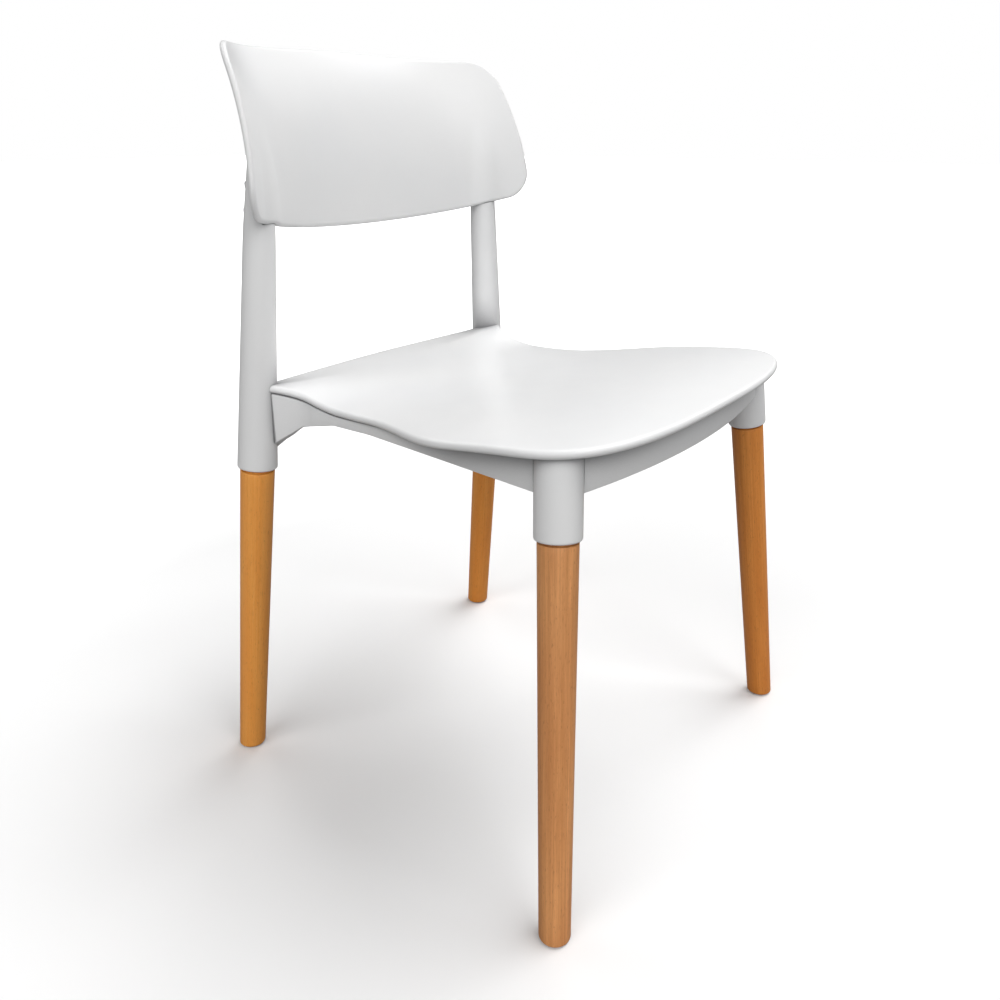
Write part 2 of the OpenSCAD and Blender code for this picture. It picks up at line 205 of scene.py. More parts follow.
def loft(rings, start="flat", end="flat"):
    """Vertices and faces through equal closed rings. An end is a flat face or a point."""
    count = len(rings[0])
    verts = np.concatenate(rings)
    faces = []
    for k in range(len(rings) - 1):
        a, b = k * count, (k + 1) * count
        for i in range(count):
            j = (i + 1) % count
            faces.append((a + i, a + j, b + j, b + i))
    last = (len(rings) - 1) * count
    if start == "flat":
        faces.append(tuple(range(count - 1, -1, -1)))
    if end == "flat":
        faces.append(tuple(range(last, last + count)))
    if start == "point":
        verts = np.vstack([verts, rings[0].mean(axis=0)])
        faces += [(len(verts) - 1, (i + 1) % count, i) for i in range(count)]
    if end == "point":
        verts = np.vstack([verts, rings[-1].mean(axis=0)])
        faces += [(len(verts) - 1, last + i, last + (i + 1) % count) for i in range(count)]
    return verts, faces


def axes_of(p, q):
    """Matrix whose columns are the local x, y and z axes at p, with z pointing to q."""
    z = (q - p) / np.linalg.norm(q - p)
    x = np.cross([0, 1.0, 0], z)
    x /= np.linalg.norm(x)
    return np.stack([x, np.cross(z, x), z], axis=1)


def lathe(profile, p, q, count=96):
    """Round solid with a profile of (radius, height) about the line from p to q."""
    turn = axes_of(p, q)
    angle = np.arange(count) * 2 * math.pi / count
    wheel = np.stack([np.cos(angle), np.sin(angle), 0 * angle], axis=1)
    rings = [p + (wheel * r + [0, 0, z]) @ turn.T for r, z in profile[1:-1]]
    verts, faces = loft(rings, "point", "point")
    verts[-2] = p + turn @ [0, 0, profile[0][1]]
    verts[-1] = p + turn @ [0, 0, profile[-1][1]]
    return verts, faces


def mirrored(part):
    verts, faces = part
    return verts * [-1, 1, 1], [tuple(reversed(f)) for f in faces]


def on_side(part, side):
    return part if side > 0 else mirrored(part)


def joined(parts):
    """One set of vertices and faces from several."""
    verts, faces, base = [], [], 0
    for v, f in parts:
        verts.append(v)
        faces += [tuple(i + base for i in face) for face in f]
        base += len(v)
    return np.concatenate(verts), faces


def solid(name, part):
    """Object from millimetres about the datum, with its faces pointing out."""
    verts, faces = part
    mesh = bpy.data.meshes.new(name)
    mesh.from_pydata(((verts + [0, DATUM_Y, 0]) * MM).tolist(), [], faces)
    work = bmesh.new()
    work.from_mesh(mesh)
    bmesh.ops.remove_doubles(work, verts=work.verts, dist=1e-6)
    bmesh.ops.recalc_face_normals(work, faces=work.faces)
    work.to_mesh(mesh)
    work.free()
    obj = bpy.data.objects.new(name, mesh)
    bpy.context.scene.collection.objects.link(obj)
    return obj


def combine(obj, cuts=(), adds=()):
    """Adds solids to obj, then cuts others from it, and keeps the result as its mesh."""
    tools = []
    for operation, parts in (("UNION", adds), ("DIFFERENCE", cuts)):
        for part in parts:
            tool = solid("tool", part)
            tools.append(tool)
            step = obj.modifiers.new("step", "BOOLEAN")
            step.operation, step.solver, step.object = operation, "EXACT", tool
    bpy.context.view_layer.update()
    seen = obj.evaluated_get(bpy.context.evaluated_depsgraph_get())
    mesh = bpy.data.meshes.new_from_object(seen)
    obj.modifiers.clear()
    obj.data = mesh
    for tool in tools:
        bpy.data.objects.remove(tool)


def finish_piece(obj, nodes, material):
    """Smooth shading with sharp creases, a material, and the piece's place in the frame."""
    obj.data.shade_smooth()
    obj.data.set_sharp_from_angle(angle=math.radians(32))
    obj.data.materials.clear()
    obj.data.materials.append(material)
    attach(obj, "root")
    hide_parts(*nodes)
    return obj


# ---------- materials ----------


class Nodes:
    """Short way to write a node material."""

    def __init__(self, name):
        self.material = bpy.data.materials.new(name)
        self.material.use_nodes = True
        self.tree = self.material.node_tree
        self.shader = self.tree.nodes["Principled BSDF"]

    def add(self, kind, **settings):
        node = self.tree.nodes.new(kind)
        for key, value in settings.items():
            if hasattr(node, key):
                setattr(node, key, value)
            else:
                node.inputs[key.replace("_", " ")].default_value = value
        return node

    def link(self, output, target):
        self.tree.links.new(output, target)

    def object_space(self, scale):
        place = self.add("ShaderNodeMapping")
        place.inputs["Scale"].default_value = scale
        self.link(self.add("ShaderNodeTexCoord").outputs["Object"], place.inputs["Vector"])
        return place.outputs["Vector"]

    def noise(self, vector, scale, detail=3.0, roughness=0.5):
        node = self.add("ShaderNodeTexNoise", Scale=scale, Detail=detail, Roughness=roughness)
        self.link(vector, node.inputs["Vector"])
        return node.outputs["Fac"]

    def remap(self, value, low, high, out_low, out_high):
        node = self.add("ShaderNodeMapRange")
        for key, number in (
            ("From Min", low), ("From Max", high), ("To Min", out_low), ("To Max", out_high)
        ):
            node.inputs[key].default_value = number
        self.link(value, node.inputs["Value"])
        return node.outputs["Result"]

    def mix(self, factor, a, b):
        node = self.add("ShaderNodeMix", data_type="RGBA")
        for value, index in ((factor, 0), (a, 6), (b, 7)):
            if isinstance(value, (tuple, float, int)):
                node.inputs[index].default_value = value
            else:
                self.link(value, node.inputs[index])
        return node.outputs[2]

    def bump(self, height, strength, distance, below=None):
        node = self.add("ShaderNodeBump", Strength=strength, Distance=distance)
        self.link(height, node.inputs["Height"])
        if below is not None:
            self.link(below, node.inputs["Normal"])
        return node.outputs["Normal"]

    def surface(self, **sockets):
        for key, value in sockets.items():
            socket = self.shader.inputs[key.replace("_", " ")]
            if isinstance(value, bpy.types.NodeSocket):
                self.link(value, socket)
            else:
                socket.default_value = value


def white_plastic():
    """Semi-gloss moulded plastic: spark grain on faint waves, uneven gloss, and painted shade that
    greys the recesses.
    """
    m = Nodes("white_plastic")
    here = m.object_space((1, 1, 1))
    cloud = m.noise(here, 9, 2)
    patches = m.noise(here, 60, 4, 0.6)
    grain = m.noise(here, 2200, 2)
    waves = m.noise(here, 22, 1)
    tint = m.mix(
        m.remap(cloud, 0.3, 0.7, 0, 1), (0.835, 0.838, 0.842, 1), (0.862, 0.862, 0.860, 1)
    )
    # Painted shade: an ambient occlusion mask darkens the colour towards grey in recesses, such as
    # under the seat's rim and where parts meet.
    painted_recess_shade = m.add("ShaderNodeAmbientOcclusion", samples=16, Distance=0.05).outputs["AO"]
    tint = m.mix(m.remap(painted_recess_shade, 0.50, 0.96, 0.90, 0), tint, (0.26, 0.26, 0.27, 1))
    normal = m.bump(grain, 0.10, 0.0002, m.bump(waves, 0.05, 0.004))
    m.surface(
        Base_Color=tint,
        Roughness=m.remap(patches, 0.25, 0.75, 0.30, 0.40),
        Normal=normal,
        IOR=1.49,
    )
    return m.material


def beech(name, light, dark, shift, foot, ring):
    """Lacquered beech with its grain along the leg from foot to ring."""
    m = Nodes(name)
    upright = Matrix(axes_of(foot, ring).tolist()).transposed()
    place = m.add("ShaderNodeMapping")
    place.inputs["Rotation"].default_value = upright.to_euler()
    place.inputs["Location"].default_value = -(upright @ Vector((foot + [0, DATUM_Y, 0]) * MM))
    m.link(m.add("ShaderNodeTexCoord").outputs["Object"], place.inputs["Vector"])
    moved = m.add("ShaderNodeVectorMath", operation="ADD")
    moved.inputs[1].default_value = shift
    m.link(place.outputs["Vector"], moved.inputs[0])

    def along(x, y, z):
        place = m.add("ShaderNodeMapping")
        place.inputs["Scale"].default_value = (x, y, z)
        m.link(moved.outputs[0], place.inputs["Vector"])
        return place.outputs["Vector"]

    bands = m.noise(along(1, 1, 0.05), 110, 3, 0.55)
    lines = m.noise(along(1, 1, 0.008), 520, 4, 0.70)
    pores = m.noise(along(1, 1, 0.07), 1700, 2, 0.5)
    flecks = m.noise(along(1, 1, 0.26), 760, 1, 0.4)
    blush = m.noise(along(1, 1, 0.30), 14, 2, 0.5)
    red = (dark[0] * 0.96, dark[1] * 0.80, dark[2] * 0.72, 1)
    deep = (dark[0] * 0.55, dark[1] * 0.45, dark[2] * 0.40, 1)
    wood = m.mix(m.remap(bands, 0.36, 0.64, 0, 0.75), light, dark)
    wood = m.mix(m.remap(lines, 0.42, 0.60, 0, 0.70), wood, dark)
    wood = m.mix(m.remap(blush, 0.35, 0.70, 0, 0.45), wood, red)
    wood = m.mix(m.remap(flecks, 0.66, 0.76, 0, 0.40), wood, deep)
    wood = m.mix(m.remap(pores, 0.56, 0.70, 0, 0.30), wood, deep)
    normal = m.bump(pores, 0.12, 0.0002, m.bump(lines, 0.12, 0.0004))
    m.surface(
        Base_Color=wood,
        Roughness=m.remap(lines, 0.3, 0.7, 0.44, 0.56),
        Normal=normal,
        Coat_Weight=0.35,
        Coat_Roughness=0.30,
    )
    return m.material


def zinc_steel():
    """Bright zinc-plated steel with fine turning marks and a little clouding."""
    m = Nodes("zinc_steel")
    here = m.object_space((1, 1, 1))
    cloud = m.noise(here, 400, 3)
    marks = m.noise(m.object_space((1, 1, 14)), 500, 2)
    m.surface(
        Base_Color=m.mix(cloud, (0.60, 0.61, 0.62, 1), (0.74, 0.74, 0.73, 1)),
        Roughness=m.remap(marks, 0.3, 0.7, 0.22, 0.38),
        Metallic=1.0,
        Normal=m.bump(marks, 0.15, 0.0001),
    )
    return m.material


def nylon():
    """Natural nylon of the foot glides, scuffed on its underside."""
    m = Nodes("nylon")
    scuffs = m.noise(m.object_space((1, 6, 1)), 700, 4, 0.7)
    m.surface(
        Base_Color=m.mix(scuffs, (0.66, 0.65, 0.62, 1), (0.82, 0.81, 0.78, 1)),
        Roughness=m.remap(scuffs, 0.3, 0.7, 0.45, 0.70),
        Normal=m.bump(scuffs, 0.2, 0.0002),
    )
    return m.material


# ---------- seat ----------


def side_x(y):
    """Half width of the seat at the middle of its rim."""
    return (
        SEAT_HALF_W
        - (SEAT_HALF_W - WAIST_HALF_W - TAPER) * ease(y, *HIP_Y)
        - TAPER * ease(y, *TAPER_Y)
        + EAR_FLARE * ramp(y, EAR_START, EAR_Y, 2)
    )


def side_h(y):
    """Height of the middle of the rim along the side."""
    return (
        CORNER_RIM_H
        - (CORNER_RIM_H - WAIST_RIM_H) * ease(y, *SIDE_DIP_Y)
        + EAR_RISE * ramp(y, EAR_RISE_START, EAR_Y, 1.5)
        - EAR_DIP * ease(y, EAR_Y, EAR_END)
    )


def middle_h(y):
    """Height along the seat's middle line."""
    dip = MIDDLE_DIP * ease(y, *MIDDLE_DIP_Y)
    return FRONT_RIM_H - dip + MIDDLE_BACK_RISE * ease(y, MIDDLE_DIP_Y[1], SEAT_BACK)


def seat_h(x, y):
    """Height of the middle of the rim, continued across the seat."""
    q = np.minimum(1, np.abs(x) / side_x(np.maximum(y, CORNER_Y)))
    return middle_h(y) + (side_h(y) - middle_h(y)) * q**2.5


def back_edge_y(x):
    return SEAT_BACK - BACK_BOW * (x / BACK_BOW_HALF) ** 2


def seat_outline(half_count):
    """Middle line of the rim as a closed counterclockwise loop that starts at the front."""
    power = 2 / CORNER_POWER
    a = np.linspace(0, math.pi / 2, 600)
    depth = SEAT_FRONT + CORNER_Y
    front = np.stack([SEAT_HALF_W * np.sin(a) ** power, CORNER_Y - depth * np.cos(a) ** power], 1)
    y = np.linspace(CORNER_Y, EAR_Y, 600)
    side = np.stack([side_x(y), y], 1)
    ear = np.array([[191, 174.2], [192, 178], [190.5, 184], [186, 190], [180, 193.2]])
    x = np.linspace(174, 0, 300)
    back = np.stack([x, back_edge_y(x)], 1)
    right = resample(np.concatenate([front, side[1:], ear, back]), half_count + 1)
    left = right[-2:0:-1] * [-1, 1]
    return np.concatenate([right, left])


SEAT_MIDDLE = np.array([0, 90.0])
TOP_RINGS = 40
BEAD_STEPS = 12


def lifted(plan, rise):
    return np.column_stack([plan, seat_h(plan[:, 0], plan[:, 1]) + rise])


def seat_shell_part():
    rim = seat_outline(160)
    out = closed_normals(rim)
    inner = rim - out * 8
    rings = []
    for k in range(1, TOP_RINGS):
        f = math.sin(math.pi / 2 * k / TOP_RINGS)
        rings.append(lifted(SEAT_MIDDLE + (inner - SEAT_MIDDLE) * f, RIM_R))
    rings.append(lifted(inner, RIM_R))
    rings.append(lifted(rim - out * 4, RIM_R))
    for k in range(BEAD_STEPS + 1):
        a = math.pi / 2 - math.pi * k / BEAD_STEPS
        rings.append(lifted(rim + out * RIM_R * math.cos(a), RIM_R * math.sin(a)))
    low = RIM_R - SHELL_T
    for inset, rise in ((3.2, -RIM_R), (4.2, -RIM_R + 0.4), (5.6, low - 0.6), (7.2, low)):
        rings.append(lifted(rim - out * inset, rise))
    lip = rim - out * 7.2
    for k in range(TOP_RINGS // 2 - 1, 0, -1):
        f = math.sin(math.pi / 2 * k / (TOP_RINGS // 2))
        rings.append(lifted(SEAT_MIDDLE + (lip - SEAT_MIDDLE) * f, low))
    verts, faces = loft(rings, "point", "point")
    height = seat_h(SEAT_MIDDLE[0], SEAT_MIDDLE[1])
    verts[-2, 2] = height + RIM_R
    verts[-1, 2] = height + low
    return verts, faces


# Screw tabs on the rails, right-hand side: place, height of the top, and direction of the rail.
TABS = {
    "front_rail": [((80, -184, 431), -90)],
    "side_rail": [((168, -30, 421), 0), ((150, 88, 417), 0)],
    "rear_rail": [((80, 180, 419), 90)],
}
TAB_R = 9
TAB_T = 4
BOSS_R = 6
SCREW_R = 2.5
SEAT_SCREW_L = TAB_T + 8


def seat_bosses():
    """Round bosses under the seat, one over each tab."""
    parts = []
    for places in TABS.values():
        for (x, y, z), _ in places:
            top = seat_h(x, y) + RIM_R - 1.5 - z
            profile = rounded([(0, 0, 0), (BOSS_R, 0, 0.6), (BOSS_R, top, 0), (0, top, 0)], 3)
            place = np.array([x, y, z], float)
            boss = lathe(profile, place, place + [0, 0, 1], 32)
            parts += [boss, mirrored(boss)]
    return joined(parts)


# ---------- uprights and sockets ----------


def upright_profile(grow=0.0):
    """(radius, height) of an upright from its ring to its tip, grown all round."""
    neck = np.linalg.norm(NECK - REAR_RING)
    top = neck + TIP_L + TIP_EDGE_R
    return rounded(
        [
            (0, -grow, 0),
            (SOCKET_R + grow, -grow, SOCKET_EDGE_R),
            (NECK_R + grow, neck, NECK_BLEND_R),
            (TIP_R + grow, top + grow, TIP_EDGE_R),
            (0, top + grow, 0),
        ]
    )


def bored(profile, long):
    """A socket's profile with its tenon hole and insert hole opened in the bottom."""
    hole = [
        (0, long + 22, 0), (4.2, long + 22, 0), (4.2, long + 16, 0), (6, long + 16, 0),
        (6, long + 2, 0), (TENON_R + 0.2, long + 2, 0.8), (TENON_R + 0.2, 0, 0.5),
        (SOCKET_R - 3, 0, 0),
    ]
    return rounded(hole, 4) + profile[1:]


def upright_part(side):
    profile = bored(upright_profile(), TENON_L)
    return on_side(lathe(profile, REAR_RING, NECK), side)


def upright_cutter(grow):
    return lathe(upright_profile(grow), REAR_RING, NECK)


def front_socket_part(side):
    """Front socket, with its top cut level under the seat."""
    up = 2 * FRONT_RING - FRONT_FOOT
    turn = axes_of(FRONT_RING, up)
    blank = 60
    outside = rounded(
        [(0, 0, 0), (SOCKET_R, 0, SOCKET_EDGE_R), (SOCKET_R, 50, 0), (SOCKET_R, blank, 0)]
    )
    verts, faces = lathe(bored(outside, TENON_L) + [(0, blank)], FRONT_RING, up)
    top = np.flatnonzero(((verts - FRONT_RING) @ turn)[:, 2] > blank - 0.1)
    reach = (SOCKET_TOP - verts[top, 2]) / turn[2, 2]
    verts[top] += reach[:, None] * turn[:, 2]
    return on_side((verts, faces), side)


# ---------- backrest ----------

MIDDLE_ANGLE = MIDDLE_HALF / BACK_R
EMBED_S = 175
EMBED_TOP = 85
EMBED_RISE = 3.0
EMBED_HALF_W = 24
EMBED_LEAN = 0.04


def plan_angle(s):
    return np.where(s < MIDDLE_HALF, s / BACK_R, MIDDLE_ANGLE + (s - MIDDLE_HALF) / WING_R)


def back_point(s, v, d):
    """Point at s along the panel, v up its slope, and d behind its front face."""
    a = np.abs(s)
    turn = plan_angle(a)
    wing = a >= MIDDLE_HALF
    step = BACK_R - WING_R
    x = np.where(wing, step * math.sin(MIDDLE_ANGLE) + WING_R * np.sin(turn), BACK_R * np.sin(turn))
    back = np.where(
        wing,
        BACK_R - step * math.cos(MIDDLE_ANGLE) - WING_R * np.cos(turn),
        BACK_R * (1 - np.cos(turn)),
    )
    x = (x + d * np.sin(turn)) * np.sign(s)
    y = d * np.cos(turn) - back - BACK_ARCH * 4 * v / BACK_H * (1 - v / BACK_H)
    lean_c, lean_s = math.cos(BACK_LEAN), math.sin(BACK_LEAN)
    lean = BACK_LEAN - LEAN_LOSS * (s / LEAN_LOSS_S) ** 2
    rise = np.stack([0 * a, v * np.sin(lean), v * np.cos(lean)], axis=-1)
    return BACK_BASE + np.stack([x, y * lean_c, -y * lean_s], axis=-1) + rise


def corner_cut(u, radius):
    inside = np.clip(radius - u, 0, radius)
    return radius - np.sqrt(radius**2 - inside**2)


def slope_v(s, v):
    """Slope position with the sag of the lower edge and the crown of the upper one."""
    t = v / BACK_H
    q = np.abs(s) / BASE_HALF
    return v + t * TOP_CROWN * (1 - q**CROWN_POWER) - (1 - t) * BASE_SAG * (1 - q**2)


def panel_rows(inset, corner_steps, middle_steps):
    """(slope position, half length) of the rows of a panel shrunk all round by inset."""
    low_r, high_r = BASE_CORNER_R - inset, TOP_CORNER_R - inset
    low, high = inset, BACK_H - inset
    turn = np.linspace(0, math.pi / 2, corner_steps + 1)
    lower = low + low_r * (1 - np.cos(turn))
    upper = high - high_r * (1 - np.cos(turn[::-1]))
    between = np.linspace(lower[-1], upper[0], middle_steps + 2)[1:-1]
    v = np.concatenate([lower, between, upper])
    t = v / BACK_H
    half = BASE_HALF + (TOP_HALF - BASE_HALF) * t - inset
    half = half - corner_cut(v - low, low_r) - corner_cut(high - v, high_r)
    return v, half


def embed_rise(s, v):
    """How far the panel's front swells over the tip of each upright."""
    u = np.clip(v / EMBED_TOP, 0, 1)
    width = EMBED_HALF_W * np.sqrt(np.maximum(1 - u**2, 1e-4))
    across = np.clip((np.abs(s) - (EMBED_S - EMBED_LEAN * v)) / width, -1, 1)
    return EMBED_RISE * (1 - u**2) * (1 - across**2) ** 2


def panel_part():
    """Curved panel with a full round edge."""
    edge_r = BACK_T / 2
    columns = 200
    v, half = panel_rows(edge_r, 14, 16)
    share = np.linspace(-1, 1, columns + 1)
    s = half[:, None] * share[None, :]
    v = np.repeat(v[:, None], columns + 1, axis=1)
    rows = len(s)
    index = np.arange(rows * (columns + 1)).reshape(rows, columns + 1)
    around = np.concatenate(
        [index[0, :-1], index[:-1, -1], index[-1, :0:-1], index[:0:-1, 0]]
    )
    front = -embed_rise(s, v)
    sheets = [back_point(s, slope_v(s, v), front), back_point(s, slope_v(s, v), BACK_T)]
    quads = [
        (index[r, c], index[r, c + 1], index[r + 1, c + 1], index[r + 1, c])
        for r in range(rows - 1) for c in range(columns)
    ]
    parts = [(sheets[0].reshape(-1, 3), quads)]
    parts.append((sheets[1].reshape(-1, 3), [tuple(reversed(q)) for q in quads]))
    loop_s, loop_v, loop_d = (a.ravel()[around] for a in (s, v, front))
    out = closed_normals(np.stack([loop_s, loop_v], axis=1))
    rings = []
    for a in np.linspace(0, math.pi, 13):
        es = loop_s + out[:, 0] * edge_r * math.sin(a)
        ev = loop_v + out[:, 1] * edge_r * math.sin(a)
        depth = loop_d + (BACK_T - loop_d) * (1 - math.cos(a)) / 2
        rings.append(back_point(es, slope_v(es, ev), depth))
    parts.append(loft(rings, "open", "open"))
    return joined(parts)


def panel_cutter(front, rear, drop):
    """Thick curved slab that holds the space of the panel, made longer below by drop."""
    columns = 120
    v, half = panel_rows(0, 8, 6)
    share = np.linspace(-1, 1, columns + 1)
    s = half[:, None] * share[None, :]
    v = np.repeat(v[:, None], columns + 1, axis=1)
    height = slope_v(s, v)
    height[0] -= drop
    rings = []
    for s_row, h_row in zip(s, height):
        ahead, behind = back_point(s_row, h_row, front), back_point(s_row, h_row, rear)
        rings.append(np.concatenate([ahead, behind[::-1]]))
    return loft(rings)


# Screws through the tips of the uprights: [slope position, depth of the head behind the face].
BACK_SCREWS = [(14, 23), (36, 18.9)]
SCREW_S = 174
SCREW_HEAD_R = 5
SCREW_HEAD_L = 3.5
BACK_SCREW_L = 11
CAP_R = 5.5
CAP_L = 1.6


def back_screw_line(v):
    ends = [back_point(np.array(float(SCREW_S)), v, float(d)) for d in (0, 100)]
    return ends[0], (ends[1] - ends[0]) / 100


def back_screw_wells():
    """Counterbores in the right-hand upright."""
    wells = []
    for v, seat in BACK_SCREWS:
        p, out = back_screw_line(v)
        wells.append(lathe([(0, 0), (CAP_R + 0.1, 0), (CAP_R + 0.1, 30), (0, 30)],
                           p + out * seat, p + out * 100, 48))
    return wells


def back_caps_part():
    """Low domed caps that close the counterbores."""
    parts = []
    for v, seat in BACK_SCREWS:
        p, out = back_screw_line(v)
        low = seat + SCREW_HEAD_L
        profile = rounded([(0, 0, 0), (CAP_R, 0, 0), (CAP_R, CAP_L, 0.7), (0, CAP_L + 0.3, 0)], 5)
        cap = lathe(profile, p + out * low, p + out * 100, 48)
        parts += [cap, mirrored(cap)]
    return joined(parts)


# ---------- rails ----------


def wall(line, inner, bottom, top, radius):
    """Wall through stations: outer and inner plan points, lower and upper heights."""
    rings = []
    for a, b, low, high in zip(line, inner, bottom, top):
        thick = np.linalg.norm(b - a)
        section = rounded(
            [
                (thick / 2, low, 0), (thick, low, radius), (thick, high, radius),
                (0, high, radius), (0, low, radius), (thick / 2, low, 0),
            ],
            4,
        )[:-1]
        offsets = np.array(section)
        plan = a + (b - a) / thick * offsets[:, :1]
        rings.append(np.column_stack([plan, offsets[:, 1]]))
    return loft(rings)


def tab_part(place, angle, reach):
    """Round-ended tab for a screw, reaching to its rail."""
    x, y, top = place
    a = np.linspace(math.pi / 2, 3 * math.pi / 2, 25)
    outline = np.concatenate(
        [np.stack([TAB_R * np.cos(a), TAB_R * np.sin(a)], 1), [[reach, -TAB_R], [reach, TAB_R]]]
    )
    c, s = math.cos(math.radians(angle)), math.sin(math.radians(angle))
    outline = outline @ np.array([[c, s], [-s, c]]) + [x, y]
    rings = []
    for rise, inset in ((0, 0.6), (0.6, 0), (TAB_T, 0)):
        ring = outline + ([x, y] - outline) * inset / TAB_R
        rings.append(np.column_stack([ring, np.full(len(ring), top - TAB_T + rise)]))
    return loft(rings)


def rail_x(y):
    """Outer face of the right-hand apron."""
    return (
        RAIL_WAIST_X
        + RAIL_SPREAD * np.maximum(0, RAIL_WAIST_Y - y)
        + RAIL_EAR_FLARE * ramp(y, EAR_START, EAR_Y, 1.8)
    )


def rail_bottom(y):
    """Lower edge of a side apron, which drops into the bracket at the upright."""
    gentle = BRACKET_DROP * np.clip((y - BRACKET_Y) / (BRACKET_CORNER_Y - BRACKET_Y), 0, 1)
    return RAIL_LOW - gentle - BRACKET_SLOPE * np.maximum(0, y - BRACKET_CORNER_Y)


def side_rail_part(side):
    y = np.concatenate(
        [
            [-174, FRONT_BLOCK_Y - BLOCK_EDGE, FRONT_BLOCK_Y],
            np.linspace(-142, 128, 50),
            np.linspace(130, 192, 63),
        ]
    )
    outer = np.stack([rail_x(y), y], 1)
    thick = np.where(y < FRONT_BLOCK_Y, FRONT_BLOCK_T, RAIL_T + 10 * ease(y, 150, 172))
    inner = outer - np.stack([thick, 0 * y], 1)
    top = side_h(y) - RIM_R - 0.5
    verts, faces = wall(outer, inner, rail_bottom(y), top, RAIL_EDGE_R)
    return on_side((verts, faces), side)


def front_rail_part():
    half = np.concatenate([np.linspace(0, BLOCK_X, 50), [BLOCK_X + BLOCK_EDGE, 175, 195]])
    x = np.concatenate([-half[:0:-1], half])
    y = BOW_FRONT + BOW_R - np.sqrt(BOW_R**2 - x**2)
    thick = np.where(np.abs(x) > BLOCK_X, BOW_FRONT + 34 - y, RAIL_T)
    outer = np.stack([x, y], 1)
    inner = np.stack([x, y + thick], 1)
    return wall(outer, inner, 0 * x + RAIL_LOW, 0 * x + FRONT_RAIL_TOP, RAIL_EDGE_R)


def rear_rail_part():
    half = np.concatenate([np.linspace(0, BLOCK_X, 9), [BLOCK_X + BLOCK_EDGE, 190]])
    x = np.concatenate([-half[:0:-1], half])
    block = np.abs(x) > BLOCK_X
    outer = np.stack([x, np.where(block, REAR_RAIL_Y + 2, REAR_RAIL_Y)], 1)
    inner = np.stack([x, np.where(block, REAR_RAIL_Y - 12, REAR_RAIL_Y - RAIL_T)], 1)
    return wall(outer, inner, 0 * x + RAIL_LOW, 0 * x + REAR_RAIL_TOP, RAIL_EDGE_R)


def rail_tabs(kind):
    parts = []
    for (x, y, z), angle in TABS[kind]:
        reach = {
            "front_rail": 20, "rear_rail": REAR_RAIL_Y - y - 2, "side_rail": rail_x(y) - x - 2
        }[kind]
        parts.append(tab_part((x, y, z), angle, reach))
    return parts


# Rail screws, right-hand side: start and aim point in plan, and two heights.
RAIL_SCREWS = [
    ((162, -183), (191.8, -173), (419, 434)),
    ((190, -143), (191.8, -173), (419, 434)),
    ((176, 170.5), (195.5, 192), (402, 416)),
    ((162, 189.5), (195.5, 192), (415.5, 426)),
]
RAIL_SCREW_L = 20


def rail_screw_lines():
    lines = []
    for start, aim, heights in RAIL_SCREWS:
        for h in heights:
            p, q = np.array([*start, h], float), np.array([*aim, h], float)
            lines.append((p, (q - p) / np.linalg.norm(q - p)))
    return lines


def rail_cutters():
    """Solids that a right-hand rail end is cut back from: sockets and screw wells."""
    up = 2 * FRONT_RING - FRONT_FOOT
    socket = lathe(
        [(0, -2), (SOCKET_R + RAIL_GAP, -2), (SOCKET_R + RAIL_GAP, 100), (0, 100)], FRONT_RING, up
    )
    wells = [
        lathe([(0, 0), (SCREW_HEAD_R + 0.4, 0), (SCREW_HEAD_R + 0.4, 12), (0, 12)], p, p - out, 32)
        for p, out in rail_screw_lines()
    ]
    return [socket, upright_cutter(RAIL_GAP)] + wells


def rail(name, part, tabs, sides):
    obj = solid(name, part)
    cuts = [on_side(c, s) for s in sides for c in rail_cutters()]
    adds = [on_side(t, s) for s in sides for t in tabs]
    combine(obj, cuts, adds)
    return obj


# ---------- legs ----------


def leg_part(foot, ring):
    """Round tapered leg with a tenon on top and a foot cut level with the floor."""
    long = np.linalg.norm(ring - foot)
    turn = axes_of(ring, 2 * ring - foot)
    angle = np.arange(96) * 2 * math.pi / 96
    wheel = np.stack([np.cos(angle), np.sin(angle), 0 * angle], axis=1)
    neck = LEG_TOP_R - GROOVE_DEPTH
    top = rounded(
        [
            (0, 2, 0), (4, 2, 0), (4, TENON_L, 0), (TENON_R, TENON_L, 1.2),
            (TENON_R, 0.2, 0), (neck, 0.2, 0), (neck, -GROOVE_W, 0),
            (LEG_TOP_R, -GROOVE_W - 0.5, 0.5), (LEG_TOP_R - 0.1, -12, 0), (LEG_TOP_R - 0.2, -14, 0),
        ],
        3,
    )[:-1]
    rings = [ring + (wheel * r + [0, 0, z]) @ turn.T for r, z in top[1:]]

    def at_height(height, inset):
        """Ring of the tapered surface where it meets a level plane."""
        reach = np.full(len(angle), -long)
        for _ in range(4):
            radius = LEG_FOOT_R + (LEG_TOP_R - LEG_FOOT_R) * (reach + long) / long - inset
            points = ring + (wheel * radius[:, None] + np.outer(reach, [0, 0, 1.0])) @ turn.T
            reach = reach + (height - points[:, 2]) / turn[2, 2]
        return points

    foot_h, edge = 1.0, 3.0
    for h in (300, 200, 100, 40, 15):
        rings.append(at_height(h, 0))
    for k in range(9):
        a = math.pi / 2 * k / 8
        rings.append(at_height(foot_h + edge * (1 - math.sin(a)), edge * (1 - math.cos(a))))
    outline = rings[-1] - foot
    spread = np.arctan2(outline[:, 1], outline[:, 0])
    hole = GLIDE_HOLE_R * np.stack([np.cos(spread), np.sin(spread), 0 * spread], axis=1)
    for height in (foot_h, foot_h + 3):
        rings.append(foot + hole + [0, 0, height])
    return loft(rings, "point", "point")


# ---------- screws ----------


def screw_head():
    """Profile of a pan head that rests on height 0."""
    return rounded(
        [
            (SCREW_R, 0, 0), (SCREW_HEAD_R, 0, 0.3), (SCREW_HEAD_R, SCREW_HEAD_L, 2.2),
            (0, SCREW_HEAD_L, 0),
        ]
    )


